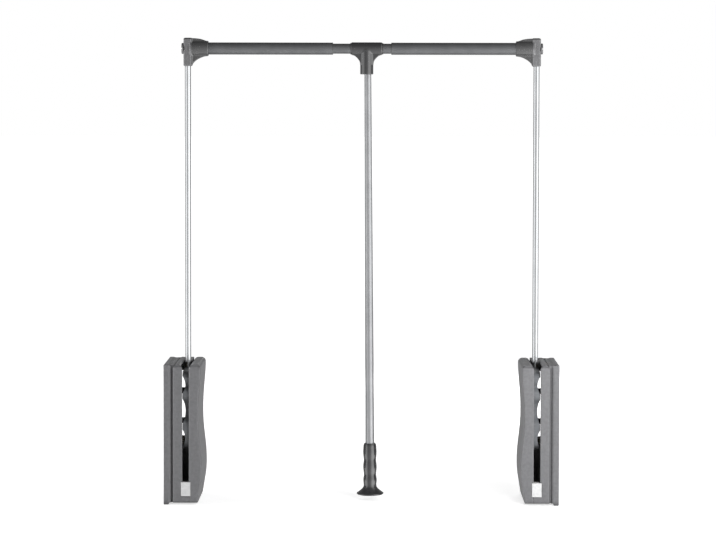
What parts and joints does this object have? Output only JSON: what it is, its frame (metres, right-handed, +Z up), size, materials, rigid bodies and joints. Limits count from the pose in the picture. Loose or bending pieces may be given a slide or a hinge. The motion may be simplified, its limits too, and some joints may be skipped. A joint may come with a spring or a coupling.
{
  "type": "pull down closet rod",
  "caption": "Wardrobe lift: two wall housings with swinging chrome arms, a telescopic hanging bar and a pull pole that draws the bar down and forward.",
  "frame": {"origin": "middle of the floor rectangle under the two housings", "axes": "+X along the bar to the right, -Y towards the user, +Z up"},
  "size_m": [0.72, 0.138, 0.8507],
  "materials": {
    "housing_plastic": "fine textured moulding",
    "gloss_plastic": "semi-gloss moulding",
    "dark_plastic": "moulded",
    "white_pad": "soft moulded",
    "pale_nylon": "natural",
    "black_rubber": "matt",
    "painted_tube": "satin grey powder coat",
    "chrome_steel": "bright plated",
    "satin_pole": "satin anodised",
    "zinc_steel": "zinc plated",
    "spring_steel": "oiled",
    "black_steel": "blackened",
    "greased_steel": "blackened and greased",
    "cast_lever": "black cast"
  },
  "bodies": {
    "left_housing": {"left_mounting_base": "housing_plastic", "left_outer_shell": "housing_plastic", "left_inner_cover": "housing_plastic", "left_stop_pad": "white_pad", "left_cover_screws": "zinc_steel", "left_chassis_plate": "black_steel", "left_rest_posts": "black_steel", "left_rest_bumpers": "black_rubber", "left_pivot_pin": "zinc_steel", "left_pivot_sleeve": "pale_nylon", "left_inner_plate": "black_steel", "left_spring_seat": "black_steel", "left_damper_cylinder": "black_steel", "left_springs": "spring_steel"},
    "left_lift": {"left_lever": "cast_lever", "left_pivot_bush": "pale_nylon", "left_cam": "greased_steel", "left_arm": "chrome_steel", "left_elbow": "gloss_plastic", "left_elbow_plug": "gloss_plastic", "left_outer_tube": "painted_tube", "left_glide_bush": "dark_plastic"},
    "left_crosshead": {"left_crosshead": "greased_steel", "left_cam_shoe": "pale_nylon", "left_damper_rod": "zinc_steel"},
    "hanging_bar": {"inner_tube": "painted_tube", "retaining_rings": "dark_plastic"},
    "pull_pole": {"tee": "gloss_plastic", "pull_pole": "satin_pole", "pole_screw": "zinc_steel", "grip": "gloss_plastic"},
    "right_lift": {"right_lever": "cast_lever", "right_pivot_bush": "pale_nylon", "right_cam": "greased_steel", "right_arm": "chrome_steel", "right_elbow": "gloss_plastic", "right_elbow_plug": "gloss_plastic", "right_outer_tube": "painted_tube", "right_glide_bush": "dark_plastic"},
    "right_housing": {"right_mounting_base": "housing_plastic", "right_outer_shell": "housing_plastic", "right_inner_cover": "housing_plastic", "right_stop_pad": "white_pad", "right_cover_screws": "zinc_steel", "right_chassis_plate": "black_steel", "right_rest_posts": "black_steel", "right_rest_bumpers": "black_rubber", "right_pivot_pin": "zinc_steel", "right_pivot_sleeve": "pale_nylon", "right_inner_plate": "black_steel", "right_spring_seat": "black_steel", "right_damper_cylinder": "black_steel", "right_springs": "spring_steel"},
    "right_crosshead": {"right_crosshead": "greased_steel", "right_cam_shoe": "pale_nylon", "right_damper_rod": "zinc_steel"}
  },
  "joints": [
    {"name": "arm_swing", "type": "hinge", "parent": "left_housing", "child": "left_lift", "pos_m": [-0.32, 0, 0.11], "axis": [1, 0, 0], "range_deg": [0, 97.6], "stiffness_Nm_per_rad": 6, "springref_deg": -45.84},
    {"name": "left_telescope", "type": "slide", "parent": "left_lift", "child": "hanging_bar", "axis": [1, 0, 0], "range_m": [-0.031, 0.11]},
    {"name": "pole_swing", "type": "hinge", "parent": "hanging_bar", "child": "pull_pole", "pos_m": [0.0085, 0, 0.8315], "axis": [1, 0, 0], "range_deg": [-150, 30]},
    {"name": "right_telescope", "type": "slide", "parent": "hanging_bar", "child": "right_lift", "axis": [1, 0, 0], "range_m": [-0.014, 0.11]},
    {"name": "right_swing", "type": "hinge", "parent": "right_lift", "child": "right_housing", "pos_m": [0.32, 0, 0.11], "axis": [-1, 0, 0], "range_deg": [0, 97.6]},
    {"name": "left_cam_lift", "type": "slide", "parent": "left_housing", "child": "left_crosshead", "axis": [0, 0, 1], "range_m": [0, 0.0222], "deforming": ["left_springs"]},
    {"name": "right_cam_lift", "type": "slide", "parent": "right_housing", "child": "right_crosshead", "axis": [0, 0, 1], "range_m": [0, 0.0222], "deforming": ["right_springs"]}
  ],
  "couplings": [
    {"joint": "right_swing", "follows": "arm_swing", "ratio": 1},
    {"joint": "left_cam_lift", "follows": "arm_swing", "m_per_rad": 0.013},
    {"joint": "right_cam_lift", "follows": "arm_swing", "m_per_rad": 0.013}
  ]
}
